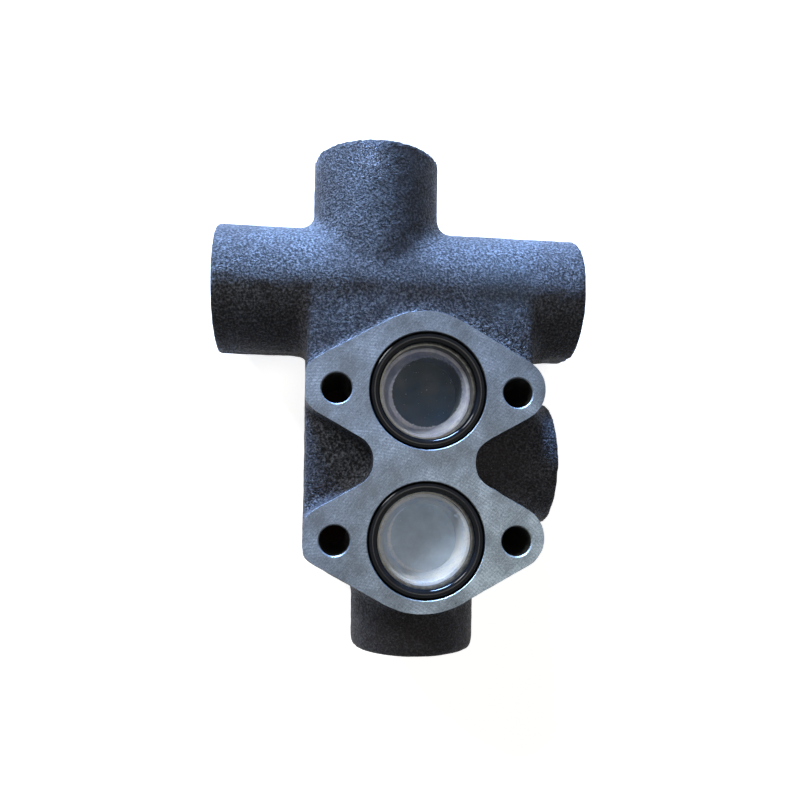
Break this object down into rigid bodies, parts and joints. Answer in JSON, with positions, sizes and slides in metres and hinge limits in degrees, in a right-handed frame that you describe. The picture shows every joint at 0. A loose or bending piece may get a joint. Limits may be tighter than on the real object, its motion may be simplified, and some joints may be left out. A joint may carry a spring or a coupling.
{
  "type": "relief valve",
  "caption": "Cast-iron hydraulic relief valve block with a machined two-port flange face, boss ports, a sprung relief cartridge and a check valve inside.",
  "frame": {"origin": "centre of the four bolt holes, on the machined mounting face", "axes": "+Z out of the mounting face, +Y towards the relief boss, +X towards the check valve boss"},
  "size_m": [0.1327, 0.1807, 0.056],
  "materials": {
    "casting": "phosphated sand-cast grain, with a milled mounting face",
    "seal_rubber": "oiled satin",
    "natural_plastic": "translucent moulded",
    "hard_steel": "ground",
    "spring_steel": "oiled wire",
    "blackened_steel": "black oxide"
  },
  "bodies": {
    "block": {"valve_body": "casting", "upper_face_seal": "seal_rubber", "lower_face_seal": "seal_rubber", "relief_seat": "hard_steel", "relief_sleeve": "hard_steel", "relief_bonnet": "blackened_steel", "relief_bonnet_seal": "seal_rubber", "adjuster_seal": "seal_rubber", "adjuster_lock_nut": "blackened_steel", "check_seat": "hard_steel", "check_plug": "blackened_steel", "check_plug_seal": "seal_rubber", "check_spring": "spring_steel"},
    "relief_piston": {"relief_poppet": "hard_steel"},
    "spring_carriage": {"relief_spring_seat": "hard_steel", "spring_shim": "spring_steel", "relief_spring": "spring_steel"},
    "adjuster": {"adjusting_screw": "blackened_steel"},
    "check_piston": {"check_poppet": "hard_steel"},
    "upper_plug": {"upper_shipping_plug": "natural_plastic"},
    "lower_plug": {"lower_shipping_plug": "natural_plastic"}
  },
  "joints": [
    {"name": "relief_lift", "type": "slide", "parent": "block", "child": "relief_piston", "axis": [0, 1, 0], "range_m": [0, 0.004], "stiffness_N_per_m": 5000, "springref_m": -0.002, "deforming": ["relief_spring"]},
    {"name": "adjuster_advance", "type": "slide", "parent": "block", "child": "spring_carriage", "axis": [0, -1, 0], "range_m": [-0.001, 0.00125], "deforming": ["relief_spring"]},
    {"name": "adjuster_turn", "type": "hinge", "parent": "spring_carriage", "child": "adjuster", "pos_m": [-0.01685, 0.103, -0.032], "axis": [0, -1, 0], "range_deg": [-288, 360]},
    {"name": "check_lift", "type": "slide", "parent": "block", "child": "check_piston", "axis": [1, 0, 0], "range_m": [0, 0.005], "stiffness_N_per_m": 600, "springref_m": -0.004, "deforming": ["check_spring"]},
    {"name": "upper_plug_pull", "type": "slide", "parent": "block", "child": "upper_plug", "axis": [0, 0, 1], "range_m": [0, 0.03]},
    {"name": "lower_plug_pull", "type": "slide", "parent": "block", "child": "lower_plug", "axis": [0, 0, 1], "range_m": [0, 0.03]}
  ],
  "couplings": [
    {"joint": "adjuster_turn", "follows": "adjuster_advance", "rad_per_m": 5026.5}
  ]
}
